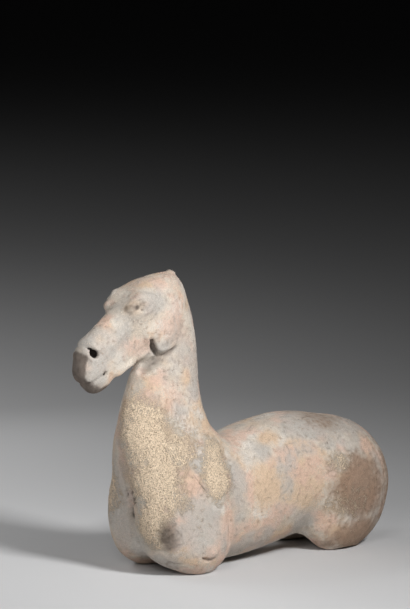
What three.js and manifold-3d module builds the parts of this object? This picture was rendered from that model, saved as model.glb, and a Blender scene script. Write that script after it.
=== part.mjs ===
// A fired-clay tomb horse that has lost its legs, tail and ears.
// It is one solid that rests on four leg stumps.
// Lengths are millimetres and angles are degrees. +X is the horse's left, -Y is forward and +Z is up.
// While it is modelled, y = 0 is the middle of the front stumps and z = 0 is the surface it stands on.
import * as THREE from 'three';
import { mergeVertices } from 'three/addons/utils/BufferGeometryUtils.js';
import Module from 'manifold-3d';

const wasm = await Module();
wasm.setup();

// Driving dimensions
const WITHERS_Z = 238; // lowest point of the back, where the neck starts
const BACK_Z = 271; // highest point of the back
const RUMP_Y = 529; // middle of the rump, at the rear
const CHEST_Y = -112; // foremost point of the chest
const HEAD_PITCH = 39; // slope of the face below the horizontal
const STUMP_X = 70; // sideways distance of each stump from the middle
const FRONT_STUMP_Y = 14;
const HIND_STUMP_Y = 372;

// The skin's mesh
const SEGMENTS = 44; // quads around a ring
const RELAXATIONS = 12; // passes that even out the quads
const BURIED = -14; // the stumps run on below the floor, where they are cut flat

const CLAY = { color: 0xb5a690, roughness: 0.95, metalness: 0 };

const { degToRad, clamp } = THREE.MathUtils;

/** A smooth curve through rows of [position, value, value, ...]: position in, the row's values out. */
function profile(rows) {
  const positions = rows.map((row) => row[0]);
  const values = rows.flatMap((row) => row.slice(1));
  const curve = new THREE.CubicInterpolant(positions, values, rows[0].length - 1);
  const last = positions[positions.length - 1];
  return (position) => curve.evaluate(clamp(position, positions[0], last));
}

/** Joins two distances with a fillet about as wide as blend. */
function join(a, b, blend) {
  const overlap = Math.max(blend - Math.abs(a - b), 0) / blend;
  return Math.min(a, b) - (overlap * overlap * blend) / 4;
}

/** Cuts the second distance out of the first, with the rim eased over blend. */
function carve(a, b, blend) {
  return -join(-a, b, blend);
}

/**
 * A tube along a straight axis in the Y-Z plane, through rows of [along, low, high, halfWidth, squareness].
 * Low and high are measured across the axis, and squareness is the exponent of the section's superellipse.
 */
function tube({ origin, along, across, rows }) {
  const section = profile(rows);
  const first = rows[0][0];
  const last = rows[rows.length - 1][0];
  return (x, y, z) => {
    const dy = y - origin[0];
    const dz = z - origin[1];
    const t = dy * along[0] + dz * along[1];
    const [low, high, halfWidth, squareness] = section(t);
    const halfHeight = (high - low) / 2;
    const u = Math.abs(x) / halfWidth + 1e-6;
    const v = Math.abs(dy * across[0] + dz * across[1] - (high + low) / 2) / halfHeight + 1e-6;
    const sum = u ** squareness + v ** squareness;
    const radius = sum ** (1 / squareness);
    const slope = Math.hypot(u ** (squareness - 1) / halfWidth, v ** (squareness - 1) / halfHeight);
    const side = (radius - 1) / (slope * sum ** (1 / squareness - 1));
    const beyond = Math.max(first - t, t - last);
    return beyond > 0 ? Math.hypot(Math.max(side, 0), beyond) : Math.max(side, beyond);
  };
}

/**
 * An ellipsoid, doubled to the other side where it is off the middle.
 * Pitch raises its front and yaw turns its front outwards.
 */
function mass({ at, radii, pitch = 0, yaw = 0 }) {
  const [cosPitch, sinPitch] = [Math.cos(degToRad(pitch)), Math.sin(degToRad(pitch))];
  const [cosYaw, sinYaw] = [Math.cos(degToRad(yaw)), Math.sin(degToRad(yaw))];
  const paired = at[0] !== 0;
  return (x, y, z) => {
    const dx = (paired ? Math.abs(x) : x) - at[0];
    const dy = y - at[1];
    const dz = z - at[2];
    const sideways = dx * cosYaw + dy * sinYaw;
    const level = dy * cosYaw - dx * sinYaw;
    const lengthways = level * cosPitch - dz * sinPitch;
    const upright = dz * cosPitch + level * sinPitch;
    const [u, v, w] = [sideways / radii[0], lengthways / radii[1], upright / radii[2]];
    const radius = Math.hypot(u, v, w) + 1e-9;
    const slope = Math.hypot(u / radii[0], v / radii[1], w / radii[2]) + 1e-9;
    return (radius * (radius - 1)) / slope;
  };
}

/** A groove's round tool, drawn along straight runs between the points. One off the middle is doubled. */
function stroke(points, radius) {
  const paired = points.some((point) => point[0] !== 0);
  const corners = points.map((point) => new THREE.Vector3(...point));
  const runs = corners.slice(1).map((end, i) => new THREE.Line3(corners[i], end));
  const here = new THREE.Vector3();
  const nearest = new THREE.Vector3();
  return (x, y, z) => {
    here.set(paired ? Math.abs(x) : x, y, z);
    const distances = runs.map((run) => run.closestPointToPoint(here, true, nearest).distanceTo(here));
    return Math.min(...distances) - radius;
  };
}

// The barrel, from inside the chest to inside the rump: [y, bottom, top, halfWidth, squareness]
const barrel = tube({
  origin: [0, 0],
  along: [1, 0],
  across: [0, 1],
  rows: [
    [-40, 40, 232, 84, 2.2],
    [10, 26, 234, 92, 2.3],
    [60, 12, 236, 98, 2.3],
    [118, 4, WITHERS_Z, 102, 2.3],
    [160, 6, 249, 105, 2.2],
    [204, 12, 259, 107, 2.2],
    [245, 18, 266, 109, 2.1],
    [285, 27, BACK_Z, 112, 2.1],
    [325, 38, 268, 114, 2.1],
    [365, 44, 262, 112, 2.1],
    [417, 48, 248, 104, 2.1],
    [465, 62, 230, 84, 2.1],
  ],
});

// The neck, from inside the chest to inside the poll: [z, front, back, halfWidth, squareness]
const neck = tube({
  origin: [0, 0],
  along: [0, 1],
  across: [1, 0],
  rows: [
    [40, -80, 90, 84, 2.3],
    [126, -96, 105, 92, 2.3],
    [200, CHEST_Y, 112, 86, 2.2],
    [247, -115, 104, 76, 2.2],
    [267, -114, 91, 69, 2.1],
    [296, -109, 78, 60, 2.1],
    [324, -104, 71, 53, 2.1],
    [352, -94, 66, 47, 2.1],
    [390, -81, 65, 41, 2.1],
    [440, -64, 60, 38, 2.1],
    [500, -50, 42, 37, 2.1],
    [548, -40, 10, 28, 2.1],
  ],
});

// The head, along the face's slope: [along, jaw, face, halfWidth, squareness], measured from HEAD_ORIGIN
const HEAD_ORIGIN = [0, 500];
const headAlong = [-Math.cos(degToRad(HEAD_PITCH)), -Math.sin(degToRad(HEAD_PITCH))];
const headUp = [headAlong[1], -headAlong[0]];
const head = tube({
  origin: HEAD_ORIGIN,
  along: headAlong,
  across: headUp,
  rows: [
    [-38, 8, 54, 26, 2.1],
    [-4, -6, 73, 38, 2.3],
    [18, -14, 87, 43, 2.7],
    [42, -22, 92, 46, 3],
    [70, -24, 89, 44, 3],
    [98, -20, 87, 37, 2.7],
    [129, -15, 90, 30, 2.6],
    [165, -8, 92, 27, 2.6],
    [196, -5, 92, 26, 2.6],
    [220, 0, 78, 24, 2.4],
    [238, 14, 58, 18, 2.2],
  ],
});

/** The point at a distance along and up from the head's origin. */
function onHead(x, along, up) {
  return [
    x,
    HEAD_ORIGIN[0] + along * headAlong[0] + up * headUp[0],
    HEAD_ORIGIN[1] + along * headAlong[1] + up * headUp[1],
  ];
}

/** An ellipsoid that leans with the face, its middle given along the head. */
function headMass(x, along, up, radii) {
  return mass({ at: onHead(x, along, up), radii, pitch: -HEAD_PITCH });
}

/** A stroke through [x, along, up] points on the head. */
function headStroke(points, radius) {
  return stroke(
    points.map((point) => onHead(...point)),
    radius,
  );
}

const MANE_LINE = [
  [0, 24, 540],
  [0, 44, 470],
  [0, 52, 400],
  [0, 58, 330],
  [0, 92, 256],
];
const BREAST_LINE = [
  [0, CHEST_Y, 176],
  [0, -100, 128],
  [0, -82, 56],
  [0, -58, 20],
];

// What swells out of the three tubes: a shape and the width of its blend
const SWELLINGS = [
  { shape: mass({ at: [0, 420, 132], radii: [104, 118, 106] }), blend: 40 }, // rump
  { shape: mass({ at: [60, 400, 118], radii: [62, 108, 104] }), blend: 30 }, // haunches
  { shape: mass({ at: [64, 410, 80], radii: [52, 84, 84] }), blend: 20 }, // thighs
  { shape: mass({ at: [STUMP_X, HIND_STUMP_Y, 40], radii: [44, 62, 46] }), blend: 24 }, // hind stumps
  { shape: mass({ at: [48, -34, 104], radii: [52, 62, 92] }), blend: 24 }, // breast
  { shape: mass({ at: [60, 14, 120], radii: [50, 70, 96] }), blend: 30 }, // shoulders
  { shape: mass({ at: [STUMP_X, FRONT_STUMP_Y, 50], radii: [48, 64, 56] }), blend: 24 }, // front stumps
  { shape: headMass(33, 57, 5, [19, 48, 46]), blend: 6 }, // cheeks
  { shape: headStroke([[23, 110, -14], [22, 140, -7], [18, 176, -2]], 6), blend: 12 }, // jaw bars
  { shape: headMass(36, 69, 72, [15, 23, 17]), blend: 24 }, // eyes
  { shape: headMass(15, 190, 66, [13, 20, 20]), blend: 12 }, // nostril wings
  { shape: headMass(0, 216, 44, [24, 29, 28]), blend: 16 }, // upper lip
  { shape: headMass(0, 212, 14, [20, 32, 22]), blend: 10 }, // chin
  { shape: stroke(MANE_LINE, 12), blend: 12 }, // mane
  { shape: mass({ at: [0, 6, 556], radii: [13, 20, 12] }), blend: 14 }, // tuft
];

// What is pressed or cut into them
const HOLLOWS = [
  { shape: stroke(BREAST_LINE, 6), blend: 20 }, // breast groove
  { shape: stroke([[0, 558, 170], [0, 536, 100], [0, 486, 30]], 10), blend: 34 }, // rump cleft
  { shape: headStroke([[46, 99, 6], [42, 99, -6], [36, 99, -14]], 4), blend: 8 }, // behind the jaw bars
  { shape: headStroke([[52, 82, 80], [50, 84, 74]], 4), blend: 8 }, // inner corners of the eyes
  { shape: headStroke([[26, 198, 84], [25, 198, 76], [24, 200, 67]], 5), blend: 5 }, // nostrils
  { shape: headStroke([[27, 204, 24], [17, 204, 24]], 4), blend: 4 }, // corners of the mouth
  { shape: headStroke([[25, 206, 25], [16, 238, 32], [0, 248, 35]], 2), blend: 5 }, // lips
];

/** Signed distance from the horse's skin, negative inside. */
function skin(x, y, z) {
  let distance = join(barrel(x, y, z), neck(x, y, z), 44);
  distance = join(distance, head(x, y, z), 30);
  for (const { shape, blend } of SWELLINGS) distance = join(distance, shape(x, y, z), blend);
  for (const { shape, blend } of HOLLOWS) distance = carve(distance, shape(x, y, z), blend);
  return Math.max(distance, BURIED - z);
}

/** Direction in which the distance grows, times its growth, at a point. */
function slopeAt(point, target) {
  const step = 0.5;
  const { x, y, z } = point;
  return target
    .set(
      skin(x + step, y, z) - skin(x - step, y, z),
      skin(x, y + step, z) - skin(x, y - step, z),
      skin(x, y, z + step) - skin(x, y, z - step),
    )
    .divideScalar(2 * step);
}

/** Moves a point onto the skin along the slope. */
function settle(point, slope) {
  for (let pass = 0; pass < 2; pass += 1) {
    const distance = skin(point.x, point.y, point.z);
    slopeAt(point, slope);
    point.addScaledVector(slope, -clamp(distance, -6, 6) / Math.max(slope.lengthSq(), 0.2));
  }
}

// Rings are drawn on the skin from a spine: [ring, y, z, lean]. Lean turns a ring's top from up to backwards.
const MUZZLE = onHead(0, 246, 38);
const SPINE = profile([
  [0, RUMP_Y, 140, 0],
  [3, RUMP_Y - 12, 140, 0],
  [8, RUMP_Y - 70, 138, 0],
  [23, 145, 128, 0],
  [30, 62, 132, 22],
  [36, 22, 160, 41],
  [42, -2, 215, 61],
  [47, -10, 270, 82],
  [51, -14, 318, 90],
  [57, -14, 388, 88],
  [62, -22, 433, 60],
  [67, -50, 475, 30],
  [71, -84, 477, 10],
  [78, -113, 465, -10],
  [84, -128, 448, -25],
  [89, ...onHead(0, 148, 40).slice(1), -HEAD_PITCH],
  [104, ...onHead(0, 220, 39).slice(1), -HEAD_PITCH],
  [107, ...onHead(0, 238, 38).slice(1), -HEAD_PITCH],
  [109, ...onHead(0, 244.5, 38).slice(1), -HEAD_PITCH],
  [110, MUZZLE[1], MUZZLE[2], -HEAD_PITCH],
]);
const RINGS = 110;

/** The first place where a ray from inside meets the skin. */
function castOut(origin, direction, target) {
  let reach = 0;
  let nearer = 0;
  for (let i = 0; i < 60; i += 1) {
    target.copy(origin).addScaledVector(direction, reach);
    const distance = skin(target.x, target.y, target.z);
    if (distance > 0) break;
    nearer = reach;
    reach += Math.max(-distance * 0.8, 1);
  }
  for (let i = 0; i < 12; i += 1) {
    const middle = (nearer + reach) / 2;
    target.copy(origin).addScaledVector(direction, middle);
    if (skin(target.x, target.y, target.z) > 0) reach = middle;
    else nearer = middle;
  }
  return target;
}

/** The skin as a closed grid of quads, made from a sphere's grid whose poles are the rump and the lips. */
function drawSkin() {
  const grid = new THREE.SphereGeometry(1, SEGMENTS, RINGS);
  const stride = SEGMENTS + 1;
  const points = [];
  const direction = new THREE.Vector3();
  for (let ring = 0; ring <= RINGS; ring += 1) {
    const [y, z, lean] = SPINE(ring);
    const origin = new THREE.Vector3(0, y, z);
    const isPole = ring === 0 || ring === RINGS;
    for (let i = 0; i < stride; i += 1) {
      const turn = (2 * Math.PI * (i % SEGMENTS)) / SEGMENTS;
      direction.set(
        Math.sin(turn),
        Math.cos(turn) * Math.sin(degToRad(lean)),
        Math.cos(turn) * Math.cos(degToRad(lean)),
      );
      points.push(isPole ? origin.clone() : castOut(origin, direction, new THREE.Vector3()));
    }
  }
  relax(points, stride);
  straighten(grid, points);
  const position = grid.getAttribute('position');
  points.forEach((point, i) => position.setXYZ(i, point.x, point.y, point.z));
  grid.deleteAttribute('normal');
  grid.deleteAttribute('uv');
  return mergeVertices(grid, 1e-3);
}

/** Splits each quad along its shorter diagonal. The grid lists a quad's two triangles one after the other. */
function straighten(grid, points) {
  const { array } = grid.index;
  const pole = 3 * SEGMENTS;
  for (let i = pole; i < array.length - pole; i += 6) {
    const [a, b, d, , c] = array.slice(i, i + 5);
    if (points[a].distanceTo(points[c]) < points[b].distanceTo(points[d])) array.set([a, b, c, a, c, d], i);
  }
}

/** Slides the ring points towards the middle of their neighbours, and back onto the skin. */
function relax(points, stride) {
  const slope = new THREE.Vector3();
  const middle = new THREE.Vector3();
  for (let pass = 0; pass < RELAXATIONS; pass += 1) {
    const before = points.map((point) => point.clone());
    for (let ring = 1; ring < RINGS; ring += 1) {
      for (let i = 0; i < SEGMENTS; i += 1) {
        const row = ring * stride;
        const neighbours = [
          before[row + ((i + 1) % SEGMENTS)],
          before[row + ((i + SEGMENTS - 1) % SEGMENTS)],
          before[row - stride + i],
          before[row + stride + i],
        ];
        middle.set(0, 0, 0);
        for (const neighbour of neighbours) middle.addScaledVector(neighbour, 0.25);
        points[row + i].lerp(middle, 0.5);
        settle(points[row + i], slope);
      }
      points[ring * stride + SEGMENTS].copy(points[ring * stride]);
    }
  }
}

/** A closed geometry as a solid for joining and cutting. */
function solidOf(geometry) {
  const source = mergeVertices(geometry, 1e-3);
  const solid = new wasm.Manifold(
    new wasm.Mesh({
      numProp: 3,
      vertProperties: new Float32Array(source.getAttribute('position').array),
      triVerts: new Uint32Array(source.index.array),
    }),
  );
  return solid;
}

/** A solid as a geometry. */
function geometryOf(solid) {
  const mesh = solid.getMesh();
  const geometry = new THREE.BufferGeometry();
  geometry.setAttribute('position', new THREE.BufferAttribute(new Float32Array(mesh.vertProperties), 3));
  geometry.setIndex(new THREE.BufferAttribute(new Uint32Array(mesh.triVerts), 1));
  return geometry;
}

/** The horse, cut flat where its stumps stand, with its origin below the middle of its box. */
function makeHorse() {
  const floor = new THREE.BoxGeometry(2000, 2000, 200).translate(0, 0, -100);
  floor.deleteAttribute('normal');
  floor.deleteAttribute('uv');
  const body = geometryOf(solidOf(drawSkin()).subtract(solidOf(floor)));
  body.computeBoundingBox();
  const middle = body.boundingBox.getCenter(new THREE.Vector3());
  body.translate(-middle.x, -middle.y, -body.boundingBox.min.z);
  body.computeVertexNormals();
  const horse = new THREE.Mesh(body, new THREE.MeshStandardMaterial(CLAY));
  horse.name = 'horse';
  return horse;
}

const figure = new THREE.Group();
figure.add(makeHorse());
export default figure;
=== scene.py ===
import logging
import math
from dataclasses import dataclass, field
from enum import Enum

import bmesh
import bpy
import numpy as np
from mathutils import Euler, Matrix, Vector


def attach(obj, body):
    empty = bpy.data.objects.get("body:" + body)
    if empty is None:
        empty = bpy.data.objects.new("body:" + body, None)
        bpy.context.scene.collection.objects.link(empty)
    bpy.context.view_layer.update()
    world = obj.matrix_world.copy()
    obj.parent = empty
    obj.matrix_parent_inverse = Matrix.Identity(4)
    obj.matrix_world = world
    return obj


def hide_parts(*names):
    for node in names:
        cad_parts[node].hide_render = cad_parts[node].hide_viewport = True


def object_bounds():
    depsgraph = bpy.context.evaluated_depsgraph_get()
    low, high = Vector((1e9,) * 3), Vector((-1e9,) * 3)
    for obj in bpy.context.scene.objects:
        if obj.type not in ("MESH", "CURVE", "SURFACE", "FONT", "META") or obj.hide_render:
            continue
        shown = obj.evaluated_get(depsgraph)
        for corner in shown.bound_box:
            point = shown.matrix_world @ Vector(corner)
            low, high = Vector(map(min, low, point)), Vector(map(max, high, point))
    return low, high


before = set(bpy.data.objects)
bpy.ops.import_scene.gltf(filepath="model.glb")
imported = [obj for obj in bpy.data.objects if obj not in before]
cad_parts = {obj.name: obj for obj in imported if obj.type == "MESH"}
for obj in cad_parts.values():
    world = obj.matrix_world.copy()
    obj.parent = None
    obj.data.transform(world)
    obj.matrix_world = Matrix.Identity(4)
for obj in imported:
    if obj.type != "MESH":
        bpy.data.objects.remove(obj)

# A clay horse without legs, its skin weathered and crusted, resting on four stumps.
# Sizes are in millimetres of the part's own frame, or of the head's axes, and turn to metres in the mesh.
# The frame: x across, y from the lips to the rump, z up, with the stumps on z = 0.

CAD_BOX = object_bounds()
MM = 0.001
LOG = logging.getLogger("clay_horse")
Point = tuple[float, ...]


class Tone(Enum):
    """The finishes that share the skin, each with a mask of its own on the mesh."""

    CRUST = "sandy_crust"
    ASH = "grey_ash"
    OCHRE = "ochre_clay"
    UMBER = "brown_earth"
    CHALK = "white_chalk"
    BLUSH = "pink_clay"
    # a dark tone: real stain in a few places, painted shade in grooves, pits, cracks, eye corners, under the
    # jaw and chin and low under the chest
    STAIN_AND_SHADE = "stain_and_painted_shade"
    # painted shade: near-black colour inside the nostrils, the mouth corners and the breast's slit
    PAINTED_SHADE_HOLLOW = "painted_shade_hollow"


class Side(Enum):
    """The face of the horse that a carved mark is drawn on."""

    BOTH_FLANKS = "both flanks, mirrored"
    LEFT_FLANK = "the flank towards +x"
    RIGHT_FLANK = "the flank towards -x"
    FRONT = "the breast, seen along y"
    TOP = "the back, seen from above"
    ALL = "any face, measured in space"


def smooth_step(low: float, high: float, value: np.ndarray) -> np.ndarray:
    """Eases from 0 at low to 1 at high.

    Args:
        low: The value where the result leaves 0.
        high: The value where the result reaches 1.
        value: The numbers to ease.

    Returns:
        The eased numbers, from 0 to 1.
    """
    share = np.clip((value - low) / (high - low), 0.0, 1.0)
    return share * share * (3.0 - 2.0 * share)


def path_distance(points: np.ndarray, path: np.ndarray) -> tuple[np.ndarray, np.ndarray]:
    """Measures how far points are from a line of points.

    Args:
        points: The points, one row each.
        path: The corners of the line, one row each.

    Returns:
        The distance of each point, and its nearest place along the line from 0 to 1.
    """
    lengths = np.linalg.norm(np.diff(path, axis=0), axis=1)
    total = max(lengths.sum(), 1e-6)
    best = np.full(len(points), np.inf)
    share = np.zeros(len(points))
    run = 0.0
    for start, end, length in zip(path[:-1], path[1:], lengths):
        step = end - start
        reach = np.clip((points - start) @ step / max(length * length, 1e-9), 0.0, 1.0)
        gap = np.linalg.norm(points - start - reach[:, None] * step, axis=1)
        nearer = gap < best
        best[nearer] = gap[nearer]
        share[nearer] = (run + reach[nearer] * length) / total
        run += length
    return best, share


@dataclass(frozen=True)
class ClayNoise:
    """Seeded noise over places in space: soft lumps and round grains."""

    seed: int

    def _random(self, cells: np.ndarray, salt: int) -> np.ndarray:
        """Gives each cell of a grid its own number.

        Args:
            cells: The whole-number corners of the cells, one row each.
            salt: A number that sets one use of the noise apart from another.

        Returns:
            One number from 0 to 1 for each row.
        """
        whole = cells.astype(np.int64)
        mixed = whole[:, 0] * 73856093 ^ whole[:, 1] * 19349663 ^ whole[:, 2] * 83492791
        mixed = (mixed ^ (self.seed * 2654435761 + salt * 97531)) & 0xFFFFFFFF
        mixed = ((mixed ^ (mixed >> 15)) * 2246822519) & 0xFFFFFFFF
        mixed = ((mixed ^ (mixed >> 13)) * 3266489917) & 0xFFFFFFFF
        return (mixed ^ (mixed >> 16)) / 4294967296.0

    def lumps(self, places: np.ndarray, size: float, salt: int = 0) -> np.ndarray:
        """Makes soft lumps of one size.

        Args:
            places: The points, in millimetres.
            size: The spacing of the lumps, in millimetres.
            salt: A number that sets one use of the noise apart from another.

        Returns:
            Heights from -1 to 1.
        """
        grid = places / size
        base = np.floor(grid)
        ease = grid - base
        ease = ease * ease * ease * (ease * (ease * 6 - 15) + 10)
        total = np.zeros(len(places))
        for corner in range(8):
            step = np.array([corner & 1, corner >> 1 & 1, corner >> 2 & 1])
            weight = np.prod(np.where(step, ease, 1 - ease), axis=1)
            total += weight * self._random(base + step, salt)
        return total * 2 - 1

    def layers(self, places: np.ndarray, size: float, count: int, salt: int = 0) -> np.ndarray:
        """Adds lumps of ever smaller sizes.

        Args:
            places: The points, in millimetres.
            size: The spacing of the largest lumps, in millimetres.
            count: How many sizes are added.
            salt: A number that sets one use of the noise apart from another.

        Returns:
            Heights of about -1 to 1.
        """
        total = np.zeros(len(places))
        share = 1.0
        for layer in range(count):
            total += share * self.lumps(places, size / 2.03**layer, salt + layer)
            share *= 0.55
        return total / 1.4

    def grains(self, places: np.ndarray, size: float, salt: int = 0) -> np.ndarray:
        """Packs round grains side by side.

        Args:
            places: The points, in millimetres.
            size: The spacing of the grains, in millimetres.
            salt: A number that sets one use of the noise apart from another.

        Returns:
            The distance to the nearest grain's middle, 0 to about 1.
        """
        grid = places / size
        base = np.floor(grid)
        nearest = np.full(len(places), 9.0)
        for corner in range(27):
            cell = base + np.array([corner % 3, corner // 3 % 3, corner // 9]) - 1
            middle = cell + np.stack([self._random(cell, salt + k) for k in range(3)], axis=1)
            nearest = np.minimum(nearest, np.linalg.norm(grid - middle, axis=1))
        return nearest


@dataclass(frozen=True)
class HeadAxes:
    """The head's own axes: across, along the face from the poll to the lips, and up from the jaw."""

    origin_y: float = -153.0
    origin_z: float = 500.0
    pitch: float = 39.0

    def turn(self, vectors: np.ndarray) -> np.ndarray:
        """Turns directions from the part's axes to the head's.

        Args:
            vectors: Directions in the part's axes, one row each.

        Returns:
            The same directions as across, along and up.
        """
        sine = math.sin(math.radians(self.pitch))
        cosine = math.cos(math.radians(self.pitch))
        along = -cosine * vectors[:, 1] - sine * vectors[:, 2]
        up = -sine * vectors[:, 1] + cosine * vectors[:, 2]
        return np.stack([vectors[:, 0], along, up], axis=1)

    def place(self, places: np.ndarray) -> np.ndarray:
        """Gives places in the head's axes.

        Args:
            places: Points in the part's frame, one row each.

        Returns:
            The same points as across, along and up.
        """
        return self.turn(places - np.array([0.0, self.origin_y, self.origin_z]))


@dataclass
class SkinView:
    """The skin's points and normals in one set of axes, ready to be marked.

    Attributes:
        places: The points, one row each.
        normals: The outward directions, one row each.
        region: How much each point belongs to the region that the marks are for.
    """

    places: np.ndarray
    normals: np.ndarray
    region: np.ndarray

    def spread(self, side: Side) -> tuple[np.ndarray, np.ndarray]:
        """Picks the coordinates and the strength for marks on one side.

        Args:
            side: The face that the marks are drawn on.

        Returns:
            The coordinates that distances are measured in, and how much of a mark each point takes.
        """
        across = self.normals[:, 0]
        if side is Side.ALL:
            return self.places, self.region
        if side is Side.FRONT:
            return self.places[:, [0, 2]], self.region * smooth_step(0.05, 0.35, -self.normals[:, 1])
        if side is Side.TOP:
            return self.places[:, [0, 1]], self.region * smooth_step(0.05, 0.35, self.normals[:, 2])
        facing = {
            Side.BOTH_FLANKS: np.abs(across),
            Side.LEFT_FLANK: across,
            Side.RIGHT_FLANK: -across,
        }[side]
        return self.places[:, [1, 2]], self.region * smooth_step(0.02, 0.3, facing)


@dataclass(frozen=True)
class Stroke:
    """A line drawn in the soft clay: a groove, or a ridge where its depth is less than 0.

    Attributes:
        path: The line's corners, in the coordinates of its side.
        width: Half its width, in millimetres.
        depth: How deep it goes at its middle, in millimetres.
        side: The face that it is drawn on.
        taper: How much it thins at its two ends, from 0 to 1.
        steep: How steep its walls are, from 0, round, to 1.
    """

    path: tuple[Point, ...]
    width: float
    depth: float
    side: Side = Side.BOTH_FLANKS
    taper: float = 0.8
    steep: float = 0.0

    def cover(self, view: SkinView) -> np.ndarray:
        """Finds how much of the stroke each point takes.

        Args:
            view: The skin, in the stroke's axes.

        Returns:
            Numbers from 0, outside it, to 1, at its middle.
        """
        points, strength = view.spread(self.side)
        gap, share = path_distance(points, np.array(self.path, float))
        thin = 1 - self.taper * np.abs(2 * share - 1) ** 3
        reach = np.clip(gap / (self.width * thin), 0.0, 1.0)
        round_wall = (1 - reach**2) ** 2
        steep_wall = 1 - smooth_step(0.55, 1.0, reach)
        return strength * thin * ((1 - self.steep) * round_wall + self.steep * steep_wall)


@dataclass(frozen=True)
class Dent:
    """A round mark pressed into the clay: a pit, or a lump where its depth is less than 0.

    Attributes:
        centre: Its middle, in the coordinates of its side.
        radii: Its half sizes along those coordinates.
        depth: How deep it goes, in millimetres.
        side: The face that it is pressed into.
        lean: How far it is turned in its plane, in degrees.
        steep: How steep its walls are, from 0, round, to 1.
    """

    centre: Point
    radii: Point
    depth: float
    side: Side = Side.BOTH_FLANKS
    lean: float = 0.0
    steep: float = 0.0

    def cover(self, view: SkinView) -> np.ndarray:
        """Finds how much of the dent each point takes.

        Args:
            view: The skin, in the dent's axes.

        Returns:
            Numbers from 0, outside it, to 1, at its middle.
        """
        points, strength = view.spread(self.side)
        offset = points - np.array(self.centre, float)
        if self.lean:
            sine = math.sin(math.radians(self.lean))
            cosine = math.cos(math.radians(self.lean))
            turned = offset[:, 0] * cosine + offset[:, 1] * sine
            offset[:, 1] = offset[:, 1] * cosine - offset[:, 0] * sine
            offset[:, 0] = turned
        reach = np.clip(np.linalg.norm(offset / np.array(self.radii, float), axis=1), 0.0, 1.0)
        round_wall = (1 - reach**2) ** 2
        steep_wall = 1 - smooth_step(0.55, 1.0, reach)
        return strength * ((1 - self.steep) * round_wall + self.steep * steep_wall)


@dataclass(frozen=True)
class Patch:
    """A part of the skin that wears one of the tones.

    Attributes:
        tone: The tone.
        centre: The patch's middle, in the part's frame.
        radii: Its half sizes along x, y and z.
        strength: How fully it is covered, from 0 to 1.
        ragged: How far its edge wanders, as a share of its radii.
        mirrored: Whether the other flank has it too.
    """

    tone: Tone
    centre: Point
    radii: Point
    strength: float = 1.0
    ragged: float = 0.3
    mirrored: bool = False


@dataclass
class ClaySkin:
    """The horse's skin as arrays: its points, what is carved from them, and a mask for each tone.

    Attributes:
        places: The points in the part's frame, in millimetres.
        normals: The outward directions.
        noise: The noise that the whole skin shares.
        lift: How far each point moves out along its normal.
        tones: One mask for each tone.
    """

    places: np.ndarray
    normals: np.ndarray
    noise: ClayNoise
    lift: np.ndarray = field(init=False)
    tones: dict[Tone, np.ndarray] = field(init=False)

    def __post_init__(self) -> None:
        """Starts with nothing carved and no tone."""
        self.lift = np.zeros(len(self.places))
        self.tones = {tone: np.zeros(len(self.places)) for tone in Tone}

    def press(self, view: SkinView, marks: tuple, tone: Tone | None = None, share: float = 1.0) -> None:
        """Carves strokes and dents, and may darken them with a tone, such as painted shade in their hollows.

        Args:
            view: The skin, in the marks' axes.
            marks: The strokes and dents.
            tone: A tone that the marks take, if any.
            share: How much of the tone they take.
        """
        for mark in marks:
            cover = mark.cover(view)
            self.lift -= mark.depth * cover
            if tone is not None:
                self.tones[tone] = np.maximum(self.tones[tone], share * cover)

    def tint(self, view: SkinView, marks: tuple, tone: Tone, share: float = 1.0) -> None:
        """Lays a tone over strokes and dents without carving them.

        Args:
            view: The skin, in the marks' axes.
            marks: The strokes and dents.
            tone: The tone.
            share: How much of it they take.
        """
        for mark in marks:
            self.tones[tone] = np.maximum(self.tones[tone], share * mark.cover(view))

    def wear(self, patch: Patch) -> None:
        """Lays one patch of tone on the skin.

        Args:
            patch: The patch.
        """
        wander = patch.ragged * self.noise.layers(self.places, 34.0, 3, 40 + list(Tone).index(patch.tone))
        for turn in (1, -1) if patch.mirrored else (1,):
            middle = np.array([patch.centre[0] * turn, patch.centre[1], patch.centre[2]])
            reach = np.linalg.norm((self.places - middle) / np.array(patch.radii, float), axis=1)
            cover = patch.strength * np.clip(1.5 - reach - wander, 0.0, 1.0)
            self.tones[patch.tone] = np.maximum(self.tones[patch.tone], cover)


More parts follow.
